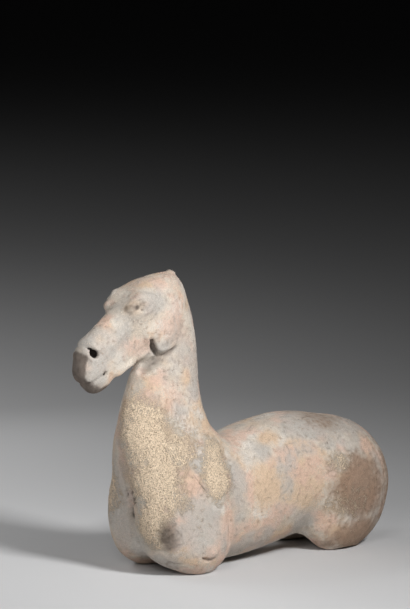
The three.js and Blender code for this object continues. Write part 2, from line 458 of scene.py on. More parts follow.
@dataclass(frozen=True)
class HeadCarving:
    """The marks of the long face: eyes, nostrils, mouth, jaw and cheek, in the head's axes."""

    axes: HeadAxes = HeadAxes()
    nostrils: tuple = (
        Dent((200.0, 72.0), (7.5, 9.5), 13.0, steep=0.8),
        Stroke(((200.0, 76.0), (197.5, 82.0), (201.0, 88.0)), 4.5, 5.0, taper=0.5),
    )
    nostril_rims: tuple = (
        Stroke(((210.0, 84.0), (212.0, 72.0), (207.0, 61.0), (197.0, 59.0)), 6.0, -2.2),
        Stroke(((190.0, 84.0), (188.0, 74.0), (191.0, 64.0)), 6.0, -1.2),
    )
    mouth_corners: tuple = (Dent((204.4, 24.2), (5.4, 5.0), 10.0, steep=0.9),)
    lips: tuple = (
        Stroke(((205.0, 25.0), (218.0, 29.0), (232.0, 33.0), (250.0, 36.0)), 2.6, 1.4, taper=0.4),
    )
    jaw_notch: tuple = (
        Stroke(((94.0, 6.0), (97.0, -5.0), (97.5, -16.0), (94.0, -32.0)), 5.2, 9.0, steep=0.7, taper=0.2),
    )
    # painted shadow: these grooves under the jaw are also darkened, standing for the jaw's shadow on the neck
    throat: tuple = (
        Stroke(
            ((14.0, 132.0, -41.0), (27.0, 110.0, -39.0), (34.0, 90.0, -43.0)),
            13.0,
            9.0,
            Side.ALL,
            0.3,
            0.6,
        ),
        Stroke(((34.0, 90.0, -42.0), (38.0, 72.0, -45.0), (39.0, 52.0, -51.0)), 8.0, 6.0, Side.ALL, 0.7, 0.6),
    )
    jaw_bar: tuple = (
        Stroke(((102.0, 4.0), (120.0, 3.0), (146.0, 4.0), (172.0, 8.0)), 4.5, 2.0),
        Stroke(((101.0, -12.0), (120.0, -10.0), (146.0, -5.0), (168.0, 0.0)), 8.0, -2.4),
    )
    cheek_rim: tuple = (
        Stroke(((46.0, -38.0), (64.0, -38.0), (82.0, -30.0), (92.0, -16.0)), 8.0, -2.6),
    )
    brow_lumps: tuple = (
        Dent((35.0, 90.0, 86.0), (13.0, 11.0, 13.0), -4.2, Side.ALL, steep=0.4),
        Dent((24.0, 66.0, 97.0), (15.0, 10.0, 8.0), 2.2, Side.ALL),
    )
    face_crest: tuple = (
        Stroke(((99.0, 57.0), (122.0, 54.0), (146.0, 54.0), (170.0, 58.0)), 7.0, -1.6),
        Stroke(((104.0, 42.0), (128.0, 36.0), (158.0, 38.0), (182.0, 44.0)), 14.0, 2.0),
    )
    eye_lids: tuple = (
        Stroke(((88.0, 86.0), (76.0, 90.0), (62.0, 87.0), (50.0, 77.0)), 3.4, 1.5),
        Stroke(((86.0, 80.0), (80.0, 72.0), (70.0, 65.0), (58.0, 61.0), (50.0, 66.0)), 3.2, 1.4),
        Stroke(((84.0, 95.0), (68.0, 95.0), (52.0, 86.0), (40.0, 72.0), (31.0, 56.0)), 5.0, -2.2),
        Stroke(((82.0, 64.0), (70.0, 57.0), (56.0, 53.0)), 4.5, -1.2),
    )
    eye_balls: tuple = (Dent((66.0, 76.0), (15.0, 8.0), -1.8, lean=27.0),)
    eye_corners: tuple = (
        Dent((82.0, 80.0), (9.0, 6.0), 2.6, lean=-30.0),
        Dent((78.0, 71.0), (3.4, 3.0), 2.4, steep=0.5),
    )
    # painted shade at the front corners of the eyes, laid without carving
    eye_shade: tuple = (
        Dent((85.0, 82.0), (13.0, 9.0), 0.0, lean=-25.0, steep=0.4),
        Dent((72.0, 80.0), (12.0, 7.0), 0.0, lean=20.0),
    )
    cheek_edge: tuple = (
        Stroke(((99.0, 30.0), (106.0, 10.0), (104.0, -8.0)), 6.0, 1.2),
    )

    def carve(self, skin: ClaySkin) -> None:
        """Carves the head, and paints shade into its hollows, its creases, the eye corners and the throat
        under the jaw.

        Args:
            skin: The skin to carve.
        """
        places = self.axes.place(skin.places)
        normals = self.axes.turn(skin.normals)
        region = smooth_step(-60.0, -20.0, places[:, 1]) * smooth_step(-75.0, -50.0, places[:, 2])
        view = SkinView(places, normals, region)
        paired = SkinView(np.abs(places * [1, 0, 0]) + places * [0, 1, 1], normals, region)
        # painted shadow under the jaw, in the throat grooves
        skin.press(paired, self.throat, Tone.STAIN_AND_SHADE, 0.6)
        skin.press(paired, self.brow_lumps)
        # painted shade: near-black colour in the nostrils and the mouth corners
        skin.press(view, self.nostrils, Tone.PAINTED_SHADE_HOLLOW)
        skin.press(view, self.mouth_corners, Tone.PAINTED_SHADE_HOLLOW)
        # painted shade in the notch behind the jaw bar and, below, along the mouth slit
        skin.press(view, self.jaw_notch, Tone.STAIN_AND_SHADE, 0.8)
        # painted shade in the carved eye corners
        skin.press(view, self.eye_corners, Tone.STAIN_AND_SHADE)
        skin.press(view, self.lips, Tone.STAIN_AND_SHADE, 0.25)
        for marks in (self.nostril_rims, self.jaw_bar, self.cheek_rim, self.face_crest):
            skin.press(view, marks)
        for marks in (self.eye_lids, self.eye_balls):
            skin.press(view, marks)
        skin.press(view, self.cheek_edge)
        # painted shade at the front of the eyes
        skin.tint(view, self.eye_shade, Tone.STAIN_AND_SHADE, 0.62)
        self._shade_muzzle(skin, view)

    def _shade_muzzle(self, skin: ClaySkin, view: SkinView) -> None:
        """Darkens the front of the muzzle, a brown stain and painted shade together, and paints shade on the
        underside of the chin.

        Args:
            skin: The skin.
            view: The skin in the head's axes.
        """
        across, along, up = np.abs(view.places[:, 0]), view.places[:, 1], view.places[:, 2]
        ragged = 5.0 * skin.noise.layers(skin.places, 12.0, 3, 71)
        # the muzzle front: brown stain and painted shade together
        front = smooth_step(203.0, 214.0, along + ragged)
        front *= 1 - smooth_step(17.0, 22.0, across + 0.6 * ragged)
        front *= 1 - smooth_step(82.0, 92.0, up + ragged)
        # painted shade on the chin's downward-facing underside
        chin = smooth_step(0.3, 0.85, -view.normals[:, 2]) * smooth_step(196.0, 214.0, along + ragged)
        chin *= 1 - smooth_step(24.0, 34.0, up)
        shade = np.maximum(0.8 * front, 0.85 * chin) * smooth_step(0.0, 0.2, view.region)
        skin.tones[Tone.STAIN_AND_SHADE] = np.maximum(skin.tones[Tone.STAIN_AND_SHADE], shade)


@dataclass(frozen=True)
class TuftCarving:
    """The stub of hair between the lost ears: a peak that drops sharply behind."""

    marks: tuple = (
        Dent((2.0, -147.0, 564.0), (13.0, 9.0, 10.0), -4.6, Side.ALL, steep=0.7),
        Dent((6.0, -131.0, 556.0), (24.0, 8.0, 12.0), 3.2, Side.ALL),
        Dent((8.0, -166.0, 564.0), (18.0, 8.0, 8.0), 1.6, Side.ALL),
    )

    def carve(self, skin: ClaySkin) -> None:
        """Carves the tuft on the skin."""
        skin.press(SkinView(skin.places, skin.normals, np.ones(len(skin.places))), self.marks)


@dataclass(frozen=True)
class BreastCarving:
    """The split down the breast, its pits and folds, and the cracks round the shoulders."""

    groove: tuple = (
        Stroke(
            ((3.0, 150.0), (2.0, 128.0), (0.0, 108.0), (-1.0, 84.0), (3.0, 60.0), (10.0, 40.0)),
            11.0,
            5.5,
            Side.FRONT,
        ),
    )
    slit: tuple = (
        Stroke(((4.0, 136.0), (1.0, 124.0), (-2.0, 110.0), (-2.0, 96.0)), 4.6, 9.0, Side.FRONT, steep=0.6),
        Stroke(((0.0, 74.0), (6.0, 60.0), (13.0, 50.0)), 4.2, 5.0, Side.FRONT, steep=0.4),
    )
    folds: tuple = (
        Stroke(((-14.0, 170.0), (-20.0, 140.0), (-22.0, 110.0), (-18.0, 80.0)), 9.0, 3.0, Side.FRONT),
        Stroke(((-40.0, 190.0), (-46.0, 150.0), (-46.0, 110.0), (-38.0, 76.0)), 10.0, 3.2, Side.FRONT),
        Stroke(((-8.0, 200.0), (-10.0, 176.0), (-4.0, 152.0)), 6.0, 2.4, Side.FRONT),
        Stroke(((16.0, 120.0), (15.0, 96.0), (20.0, 74.0), (32.0, 58.0)), 8.0, -3.0, Side.FRONT),
    )
    cracks: tuple = (
        Stroke(
            ((-168.0, 184.0), (-164.0, 176.0), (-157.0, 166.0), (-149.0, 155.0)),
            2.6,
            1.6,
            Side.LEFT_FLANK,
        ),
        Stroke(((-176.0, 196.0), (-170.0, 186.0), (-166.0, 178.0)), 2.2, 1.0, Side.LEFT_FLANK),
    )
    lower_cracks: tuple = (
        Stroke(((62.0, 94.0), (74.0, 86.0), (84.0, 90.0), (92.0, 92.0)), 2.6, 1.6, Side.FRONT),
        Stroke(((68.0, 32.0), (80.0, 26.0), (92.0, 27.0)), 3.0, 1.6, Side.FRONT),
    )
    pit_middle: Point = (4.0, -250.0, 150.0)
    pit_count: int = 16

    def pits(self, noise: ClayNoise) -> tuple:
        """Scatters small pits over the top of the split.

        Args:
            noise: The noise that places them.

        Returns:
            The pits.
        """
        marks = []
        for index in range(self.pit_count):
            cell = np.array([[index, 3, 5]])
            across = float(noise._random(cell, 11)[0]) - 0.5
            height = float(noise._random(cell, 12)[0]) - 0.5
            size = 2.6 + 2.4 * float(noise._random(cell, 13)[0])
            centre = (self.pit_middle[0] + 30 * across, self.pit_middle[2] + 26 * height)
            marks.append(Dent(centre, (size, size * 1.2), 3.8, Side.FRONT, steep=0.5))
        return tuple(marks)

    def carve(self, skin: ClaySkin) -> None:
        """Carves the breast, and paints shade into its slit, pits and cracks.

        Args:
            skin: The skin to carve.
        """
        region = 1 - smooth_step(-150.0, -120.0, skin.places[:, 1])
        region = region * (1 - smooth_step(230.0, 260.0, skin.places[:, 2]))
        view = SkinView(skin.places, skin.normals, region)
        skin.press(view, self.groove)
        # painted shade in the slit, the pits and the cracks
        skin.press(view, self.slit, Tone.PAINTED_SHADE_HOLLOW, 0.85)
        skin.press(view, self.folds)
        skin.press(view, self.pits(skin.noise), Tone.STAIN_AND_SHADE, 0.75)
        skin.press(view, self.cracks, Tone.STAIN_AND_SHADE, 0.7)
        skin.press(view, self.lower_cracks, Tone.STAIN_AND_SHADE, 0.6)


@dataclass(frozen=True)
class StumpCarving:
    """The broken ends of the legs: the knob on the left front stump and its crease."""

    knob: tuple = (
        Dent((-143.0, 44.0), (19.0, 13.0), -4.0, Side.LEFT_FLANK),
        Dent((-156.0, 56.0), (12.0, 8.0), -1.4, Side.LEFT_FLANK),
    )
    crease: tuple = (
        Stroke(((-168.0, 40.0), (-160.0, 33.0), (-148.0, 30.0), (-134.0, 32.0)), 5.0, 4.0, Side.LEFT_FLANK),
        Stroke(((-166.0, 42.0), (-163.0, 50.0)), 4.0, 2.4, Side.LEFT_FLANK),
    )
    rust_spot: tuple = (Dent((-158.0, 36.0), (13.0, 6.0), 0.0, Side.LEFT_FLANK),)
    rear_step: tuple = (
        Stroke(((-96.0, 112.0), (-92.0, 84.0), (-94.0, 58.0), (-104.0, 34.0)), 8.0, 1.6, Side.LEFT_FLANK),
    )

    def carve(self, skin: ClaySkin) -> None:
        """Carves the front stumps, paints shade into the crease and lays the rust spot.

        Args:
            skin: The skin to carve.
        """
        region = 1 - smooth_step(-70.0, -50.0, skin.places[:, 1])
        view = SkinView(skin.places, skin.normals, region)
        skin.press(view, self.knob)
        # painted shade in the crease
        skin.press(view, self.crease, Tone.STAIN_AND_SHADE, 0.5)
        skin.press(view, self.rear_step)
        skin.tint(view, self.rust_spot, Tone.UMBER, 0.9)


@dataclass(frozen=True)
class HaunchCarving:
    """The rims and scratches round the haunch, and the pits on the back."""

    rims: tuple = (
        Stroke(
            ((312.0, 200.0), (330.0, 165.0), (336.0, 130.0), (334.0, 95.0), (318.0, 60.0)),
            5.0,
            1.6,
            Side.LEFT_FLANK,
        ),
        Stroke(((302.0, 196.0), (318.0, 160.0), (324.0, 126.0), (320.0, 92.0)), 5.0, -1.2, Side.LEFT_FLANK),
        Stroke(((288.0, 62.0), (276.0, 42.0), (262.0, 26.0), (246.0, 16.0)), 3.0, -1.6, Side.LEFT_FLANK),
        Stroke(((296.0, 60.0), (284.0, 38.0), (268.0, 20.0)), 3.0, 1.4, Side.LEFT_FLANK),
    )
    valley: tuple = (
        Stroke(((150.0, 30.0), (140.0, 66.0), (136.0, 100.0), (140.0, 128.0)), 26.0, 2.2, Side.BOTH_FLANKS),
    )
    scars: tuple = (
        Stroke(((180.0, 128.0), (192.0, 121.0), (206.0, 122.0), (224.0, 120.0)), 2.4, 1.0, Side.LEFT_FLANK),
        Stroke(((172.0, 118.0), (186.0, 112.0), (198.0, 113.0)), 2.2, 0.9, Side.LEFT_FLANK),
        Stroke(((224.0, 104.0), (228.0, 84.0), (226.0, 72.0)), 2.0, 0.8, Side.LEFT_FLANK),
    )
    back_pits: tuple = (
        Dent((47.0, 70.0), (3.0, 3.6), 2.2, Side.TOP),
        Dent((44.0, 78.0), (2.8, 3.6), 1.8, Side.TOP),
        Dent((50.0, 63.0), (2.4, 2.4), 1.4, Side.TOP),
        Dent((46.0, 144.0), (4.0, 5.0), 2.6, Side.TOP),
        Dent((44.0, 136.0), (2.6, 2.6), 1.6, Side.TOP),
        Dent((30.0, 126.0), (2.4, 3.0), 1.2, Side.TOP),
        Dent((96.0, 175.0), (3.6, 3.6), 2.2, Side.TOP),
        Dent((-40.0, 96.0), (3.6, 4.6), 2.0, Side.TOP),
        Dent((-58.0, 210.0), (4.0, 3.2), 2.0, Side.TOP),
    )

    def carve(self, skin: ClaySkin) -> None:
        """Carves the rear half, and paints shade into its scratches and the pits on the back.

        Args:
            skin: The skin to carve.
        """
        region = smooth_step(20.0, 50.0, skin.places[:, 1])
        view = SkinView(skin.places, skin.normals, region)
        for marks in (self.rims, self.valley):
            skin.press(view, marks)
        # painted shade in the scratches
        skin.press(view, self.scars, Tone.STAIN_AND_SHADE, 0.35)
        everywhere = SkinView(skin.places, skin.normals, np.ones(len(skin.places)))
        # painted shade in the pits on the back
        skin.press(everywhere, self.back_pits, Tone.STAIN_AND_SHADE, 0.8)


@dataclass(frozen=True)
class SandyCrust:
    """The rough sand that clings to the neck, the breast and the haunch, and the soft lumps of the hand."""

    patches: tuple[Patch, ...] = (
        Patch(Tone.CRUST, (40.0, -245.0, 262.0), (46.0, 60.0, 62.0)),
        Patch(Tone.CRUST, (60.0, -238.0, 180.0), (48.0, 55.0, 62.0)),
        Patch(Tone.CRUST, (58.0, -246.0, 116.0), (34.0, 40.0, 46.0)),
        Patch(Tone.CRUST, (72.0, -190.0, 238.0), (30.0, 44.0, 46.0), 0.8),
        Patch(Tone.CRUST, (104.0, -122.0, 190.0), (34.0, 34.0, 46.0)),
        Patch(Tone.CRUST, (84.0, -110.0, 232.0), (34.0, 30.0, 26.0), 0.9),
        Patch(Tone.CRUST, (20.0, -256.0, 306.0), (30.0, 30.0, 44.0), 0.8),
        Patch(Tone.CRUST, (-62.0, -236.0, 170.0), (34.0, 44.0, 60.0), 0.7, 0.4),
        Patch(Tone.CRUST, (-70.0, -150.0, 210.0), (40.0, 50.0, 50.0), 0.7, 0.4),
        Patch(Tone.CRUST, (114.0, 186.0, 180.0), (28.0, 28.0, 19.0), 0.55, 0.6),
        Patch(Tone.CRUST, (118.0, 200.0, 96.0), (24.0, 44.0, 30.0), 0.3, 0.6),
        Patch(Tone.CRUST, (-112.0, 150.0, 150.0), (30.0, 60.0, 40.0), 0.6, 0.5),
    )
    thickness: float = 0.8
    grain_size: float = 6.4
    grain_height: float = 2.1

    def lay(self, skin: ClaySkin) -> None:
        """Lays the crust on the skin, with its grains, and works soft lumps into the clay.

        Args:
            skin: The skin.
        """
        for patch in self.patches:
            skin.wear(patch)
        crumble = 0.2 * skin.noise.layers(skin.places, 9.0, 2, 5)
        cover = smooth_step(0.2, 0.9, skin.tones[Tone.CRUST] + crumble)
        coarse = 1 - np.clip(skin.noise.grains(skin.places, self.grain_size, 21), 0, 1)
        loose = 1 - np.clip(skin.noise.grains(skin.places, self.grain_size * 1.9, 27), 0, 1)
        skin.lift += cover * (self.thickness + self.grain_height * (coarse - 0.55) + 0.9 * (loose - 0.5))
        lumps = 0.9 * skin.noise.layers(skin.places, 62.0, 2, 1)
        lumps += 0.35 * skin.noise.layers(skin.places, 17.0, 3, 3)
        head = smooth_step(330.0, 400.0, skin.places[:, 2])
        skin.lift += lumps * (1 - 0.45 * head)


@dataclass(frozen=True)
class WeatheredTones:
    """Where each tone of clay, ash, chalk and earth lies on the horse, with painted shade low under the
    chest.
    """

    patches: tuple[Patch, ...] = (
        Patch(Tone.ASH, (112.0, -166.0, 100.0), (30.0, 46.0, 50.0), 1.0, 0.15),
        Patch(Tone.ASH, (98.0, -60.0, 170.0), (30.0, 22.0, 72.0), 0.9, 0.2),
        Patch(Tone.ASH, (78.0, 18.0, 214.0), (26.0, 26.0, 20.0), 0.85, 0.3),
        Patch(Tone.ASH, (60.0, 190.0, 250.0), (60.0, 110.0, 34.0), 1.0, 0.3),
        Patch(Tone.UMBER, (50.0, 210.0, 262.0), (60.0, 70.0, 24.0), 0.55, 0.4),
        Patch(Tone.ASH, (94.0, -158.0, 212.0), (18.0, 18.0, 22.0), 0.9, 0.2),
        Patch(Tone.ASH, (30.0, -265.0, 226.0), (16.0, 30.0, 22.0), 0.7, 0.3),
        Patch(Tone.ASH, (-30.0, -250.0, 120.0), (50.0, 40.0, 110.0), 0.9, 0.2),
        Patch(Tone.ASH, (45.0, -290.0, 440.0), (30.0, 26.0, 26.0), 0.6, 0.3),
        Patch(Tone.ASH, (-60.0, 60.0, 240.0), (50.0, 160.0, 50.0), 0.7, 0.4),
        Patch(Tone.ASH, (120.0, 290.0, 150.0), (30.0, 24.0, 60.0), 0.6, 0.3),
        Patch(Tone.OCHRE, (100.0, 60.0, 150.0), (30.0, 110.0, 60.0), 1.0, 0.2),
        Patch(Tone.OCHRE, (92.0, 100.0, 215.0), (26.0, 40.0, 22.0), 0.9, 0.25),
        Patch(Tone.OCHRE, (-100.0, 60.0, 130.0), (36.0, 130.0, 70.0), 0.9, 0.4),
        Patch(Tone.OCHRE, (70.0, 0.0, 70.0), (60.0, 120.0, 34.0), 0.7, 0.3),
        Patch(Tone.OCHRE, (60.0, -208.0, 330.0), (26.0, 26.0, 30.0), 0.7, 0.4),
        Patch(Tone.UMBER, (118.0, 236.0, 122.0), (34.0, 66.0, 66.0), 1.0, 0.25),
        Patch(Tone.UMBER, (100.0, 236.0, 30.0), (50.0, 70.0, 44.0), 0.9, 0.25),
        Patch(Tone.UMBER, (60.0, 340.0, 110.0), (80.0, 60.0, 130.0), 0.75, 0.35),
        Patch(Tone.UMBER, (-100.0, 240.0, 90.0), (50.0, 80.0, 80.0), 0.85, 0.4),
        Patch(Tone.CHALK, (0.0, -112.0, 430.0), (34.0, 34.0, 110.0), 0.9, 0.2),
        Patch(Tone.CHALK, (30.0, -330.0, 440.0), (40.0, 60.0, 70.0), 0.6, 0.35, True),
        Patch(Tone.CHALK, (20.0, -250.0, 520.0), (50.0, 60.0, 50.0), 0.5, 0.35),
        Patch(Tone.BLUSH, (46.0, -180.0, 470.0), (24.0, 46.0, 50.0), 0.75, 0.4, True),
        Patch(Tone.BLUSH, (50.0, -190.0, 330.0), (30.0, 34.0, 40.0), 0.6, 0.4),
        Patch(Tone.BLUSH, (34.0, -250.0, 430.0), (26.0, 34.0, 22.0), 0.7, 0.4, True),
        Patch(Tone.BLUSH, (92.0, -20.0, 74.0), (30.0, 60.0, 20.0), 0.6, 0.4, True),
        # dark patches low on the breast; the one near the floor under the chest is painted shade
        Patch(Tone.STAIN_AND_SHADE, (82.0, -224.0, 82.0), (18.0, 26.0, 30.0), 0.72, 0.4),
        Patch(Tone.STAIN_AND_SHADE, (20.0, -200.0, 20.0), (80.0, 60.0, 24.0), 0.4, 0.4),
    )
    mottles: tuple = ((Tone.ASH, 58.0), (Tone.OCHRE, 46.0), (Tone.BLUSH, 34.0), (Tone.CHALK, 42.0))
    mottle_base: float = 0.36
    mottle_swing: float = 0.9

    def lay(self, skin: ClaySkin) -> None:
        """Lays every patch, and a thin mottle of each clay tone over the whole skin.

        Args:
            skin: The skin.
        """
        for patch in self.patches:
            skin.wear(patch)
        for tone, size in self.mottles:
            layers = skin.noise.layers(skin.places, size, 3, 60 + list(Tone).index(tone))
            mottle = self.mottle_base + self.mottle_swing * layers
            skin.tones[tone] = np.clip(np.maximum(skin.tones[tone], mottle), 0.0, 1.0)


@dataclass
class NodeBoard:
    """A small helper that places and joins the nodes of one tree."""

    tree: bpy.types.NodeTree

    def add(self, kind: str, **settings: object) -> bpy.types.Node:
        """Places a node.

        Args:
            kind: The node's type.
            **settings: Its properties, by name.

        Returns:
            The node.
        """
        node = self.tree.nodes.new(kind)
        for name, value in settings.items():
            setattr(node, name, value)
        return node

    def join(self, source: bpy.types.NodeSocket, target: bpy.types.NodeSocket) -> None:
        """Joins an output to an input."""
        self.tree.links.new(source, target)

    def feed(self, node: bpy.types.Node, **values: object) -> None:
        """Sets inputs of a node to plain values or joins them to outputs.

        Args:
            node: The node.
            **values: A value or an output for each input, with spaces written as underscores.
        """
        for name, value in values.items():
            socket = node.inputs[name.replace("_", " ")]
            if isinstance(value, bpy.types.NodeSocket):
                self.join(value, socket)
            else:
                socket.default_value = value

    def mix(self, share: object, first: object, second: object, blend: str = "MIX") -> bpy.types.NodeSocket:
        """Mixes two colours.

        Args:
            share: How much of the second colour shows, as a number or an output.
            first: The first colour.
            second: The second colour.
            blend: The way they are mixed.

        Returns:
            The mixed colour.
        """
        node = self.add("ShaderNodeMix", data_type="RGBA", blend_type=blend)
        for socket, value in zip((node.inputs[0], node.inputs[6], node.inputs[7]), (share, first, second)):
            if isinstance(value, bpy.types.NodeSocket):
                self.join(value, socket)
            else:
                socket.default_value = value
        return node.outputs[2]

    def math(
        self, operation: str, first: object, second: object = 0.0, third: object = 0.0
    ) -> bpy.types.NodeSocket:
        """Works out one number from others.

        Args:
            operation: The sum that is done.
            first: The first number or output.
            second: The second number or output.
            third: The third number or output.

        Returns:
            The result.
        """
        node = self.add("ShaderNodeMath", operation=operation)
        for socket, value in zip(node.inputs, (first, second, third)):
            if isinstance(value, bpy.types.NodeSocket):
                self.join(value, socket)
            else:
                socket.default_value = value
        return node.outputs[0]

    def noise(self, scale: float, detail: float = 3.0, roughness: float = 0.6) -> bpy.types.NodeSocket:
        """Makes noise on the object's own coordinates.

        Args:
            scale: How many lumps there are to the metre.
            detail: How many finer layers it has.
            roughness: How strong the finer layers are.

        Returns:
            Numbers of about 0.3 to 0.7.
        """
        place = self.add("ShaderNodeTexCoord")
        node = self.add("ShaderNodeTexNoise")
        self.feed(node, Vector=place.outputs["Object"], Scale=scale, Detail=detail, Roughness=roughness)
        return node.outputs["Fac"]


def worn_edge_group() -> bpy.types.NodeTree:
    """Builds the node group that turns a soft mask into one with a ragged, crumbled edge.

    Returns:
        The group.
    """
    tree = bpy.data.node_groups.new("worn_edge", "ShaderNodeTree")
    sockets = (
        ("Mask", 0.0),
        ("Coarse", 0.5),
        ("Fine", 0.5),
        ("Ragged", 0.6),
        ("Crumbs", 0.6),
        ("Softness", 0.2),
    )
    for name, value in sockets:
        tree.interface.new_socket(name, in_out="INPUT", socket_type="NodeSocketFloat").default_value = value
    tree.interface.new_socket("Mask", in_out="OUTPUT", socket_type="NodeSocketFloat")
    board = NodeBoard(tree)
    given = board.add("NodeGroupInput")
    made = board.add("NodeGroupOutput")
    coarse = board.math("SUBTRACT", given.outputs["Coarse"], 0.5)
    coarse = board.math("MULTIPLY", coarse, given.outputs["Ragged"])
    fine = board.math("SUBTRACT", given.outputs["Fine"], 0.5)
    fine = board.math("MULTIPLY", fine, given.outputs["Crumbs"])
    moved = board.math("ADD", board.math("ADD", given.outputs["Mask"], coarse), fine)
    edge = board.add("ShaderNodeMapRange", interpolation_type="SMOOTHSTEP")
    board.feed(edge, Value=moved)
    board.join(board.math("SUBTRACT", 0.5, given.outputs["Softness"]), edge.inputs["From Min"])
    board.join(board.math("ADD", 0.5, given.outputs["Softness"]), edge.inputs["From Max"])
    board.join(edge.outputs["Result"], made.inputs["Mask"])
    return tree


@dataclass(frozen=True)
class ClayFinish:
    """The dry, dusty clay: its tones, its sand, its bumps, and the painted shade in its hollows and creases.
    """

    buff: Point = (0.500, 0.428, 0.352, 1.0)
    buff_light: Point = (0.590, 0.520, 0.440, 1.0)
    sand: Point = (0.740, 0.575, 0.410, 1.0)
    sand_light: Point = (0.880, 0.740, 0.570, 1.0)
    sand_dark: Point = (0.380, 0.275, 0.185, 1.0)
    ash: Point = (0.435, 0.405, 0.370, 1.0)
    ochre: Point = (0.590, 0.425, 0.290, 1.0)
    umber: Point = (0.330, 0.215, 0.145, 1.0)
    umber_dark: Point = (0.205, 0.130, 0.088, 1.0)
    chalk: Point = (0.620, 0.575, 0.520, 1.0)
    blush: Point = (0.600, 0.415, 0.330, 1.0)
    # dark stain and painted shade, then near-black painted shade for the deep holes
    stain_and_shade: Point = (0.115, 0.090, 0.074, 1.0)
    hollow_shade: Point = (0.016, 0.012, 0.009, 1.0)

    def build(self) -> bpy.types.Material:
        """Builds the clay material.

        Returns:
            The material.
        """
        material = bpy.data.materials.new("weathered_clay")
        material.use_nodes = True
        board = NodeBoard(material.node_tree)
        shader = material.node_tree.nodes["Principled BSDF"]
        coarse = board.noise(28.0, 4.0)
        middle = board.noise(110.0, 4.0)
        fine = board.noise(420.0, 3.0, 0.7)
        edge = worn_edge_group()
        masks = {tone: self._mask(board, edge, tone, middle, fine) for tone in Tone}
        colour = self._colour(board, masks, coarse, middle, fine)
        board.feed(shader, Base_Color=colour)
        board.feed(shader, Roughness=self._roughness(board, masks, middle))
        shader.inputs["Specular IOR Level"].default_value = 0.25
        board.join(self._bumps(board, masks, middle, fine), shader.inputs["Normal"])
        return material

    def _mask(
        self,
        board: NodeBoard,
        edge: bpy.types.NodeTree,
        tone: Tone,
        middle: bpy.types.NodeSocket,
        fine: bpy.types.NodeSocket,
    ) -> bpy.types.NodeSocket:
        """Reads one tone's mask from the mesh and crumbles its edge.

        Args:
            board: The material's nodes.
            edge: The group that crumbles an edge.
            tone: The tone.
            middle: Noise of about a centimetre.
            fine: Noise of a few millimetres.

        Returns:
            The mask.
        """
        softness = {Tone.CRUST: 0.4, Tone.PAINTED_SHADE_HOLLOW: 0.25, Tone.STAIN_AND_SHADE: 0.36, Tone.UMBER: 0.4}.get(tone, 0.34)
        ragged = {Tone.PAINTED_SHADE_HOLLOW: 0.2, Tone.STAIN_AND_SHADE: 0.45, Tone.UMBER: 0.8, Tone.CRUST: 1.6}.get(tone, 1.1)
        read = board.add("ShaderNodeAttribute", attribute_name=tone.value)
        group = board.add("ShaderNodeGroup", node_tree=edge)
        board.feed(group, Mask=read.outputs["Fac"], Coarse=middle, Fine=fine)
        board.feed(group, Ragged=ragged, Crumbs=ragged * 0.9, Softness=softness)
        return group.outputs["Mask"]

    def _colour(
        self,
        board: NodeBoard,
        masks: dict,
        coarse: bpy.types.NodeSocket,
        middle: bpy.types.NodeSocket,
        fine: bpy.types.NodeSocket,
    ) -> bpy.types.NodeSocket:
        """Lays the tones over each other, with the stain and painted shade and the near-black hollow shade
        last.

        Args:
            board: The material's nodes.
            masks: The mask of each tone.
            coarse: Noise of a few centimetres.
            middle: Noise of about a centimetre.
            fine: Noise of a few millimetres.

        Returns:
            The colour.
        """
        spread = board.add("ShaderNodeMapRange", interpolation_type="SMOOTHSTEP")
        board.feed(spread, Value=coarse, From_Min=0.38, From_Max=0.62)
        colour = board.mix(spread.outputs["Result"], self.buff, self.buff_light)
        colour = board.mix(board.math("MULTIPLY", masks[Tone.CHALK], 0.75), colour, self.chalk)
        colour = board.mix(board.math("MULTIPLY", masks[Tone.OCHRE], 0.85), colour, self.ochre)
        colour = board.mix(board.math("MULTIPLY", masks[Tone.BLUSH], 0.75), colour, self.blush)
        colour = board.mix(board.math("MULTIPLY", masks[Tone.ASH], 0.8), colour, self.ash)
        brown = board.mix(middle, self.umber, self.umber_dark)
        colour = board.mix(board.math("MULTIPLY", masks[Tone.UMBER], 0.9), colour, brown)
        colour = board.mix(masks[Tone.CRUST], colour, self._sand(board, fine))
        # dark stain and painted shade in grooves, pits, cracks and under the jaw, chin and chest
        colour = board.mix(board.math("MULTIPLY", masks[Tone.STAIN_AND_SHADE], 0.9), colour, self.stain_and_shade)
        speck = board.add("ShaderNodeMapRange")
        board.feed(speck, Value=fine, From_Min=0.3, From_Max=0.7, To_Min=0.74, To_Max=1.2)
        colour = board.mix(1.0, colour, speck.outputs["Result"], "MULTIPLY")
        # painted shade: near-black in the nostrils, mouth corners and breast slit
        return board.mix(masks[Tone.PAINTED_SHADE_HOLLOW], colour, self.hollow_shade)

    def _sand(self, board: NodeBoard, fine: bpy.types.NodeSocket) -> bpy.types.NodeSocket:
        """Makes the colour of packed sand: light grains with dark gaps.

        Args:
            board: The material's nodes.
            fine: Noise of a few millimetres.

        Returns:
            The colour.
        """
        ramp = board.add("ShaderNodeValToRGB")
        ramp.color_ramp.elements[0].position = 0.34
        ramp.color_ramp.elements[0].color = self.sand_dark
        ramp.color_ramp.elements[1].position = 0.66
        ramp.color_ramp.elements[1].color = self.sand_light
        ramp.color_ramp.elements.new(0.46).color = self.sand
        board.join(fine, ramp.inputs["Fac"])
        return ramp.outputs["Color"]

    def _roughness(self, board: NodeBoard, masks: dict, middle: bpy.types.NodeSocket) -> bpy.types.NodeSocket:
        """Makes the clay dull, and a little smoother where ash and chalk lie.

        Args:
            board: The material's nodes.
            masks: The mask of each tone.
            middle: Noise of about a centimetre.

        Returns:
            The roughness.
        """
        dull = board.add("ShaderNodeMapRange")
        board.feed(dull, Value=middle, From_Min=0.3, From_Max=0.7, To_Min=0.82, To_Max=0.97)
        polish = board.math("MULTIPLY", masks[Tone.ASH], 0.12)
        return board.math("SUBTRACT", dull.outputs["Result"], polish)

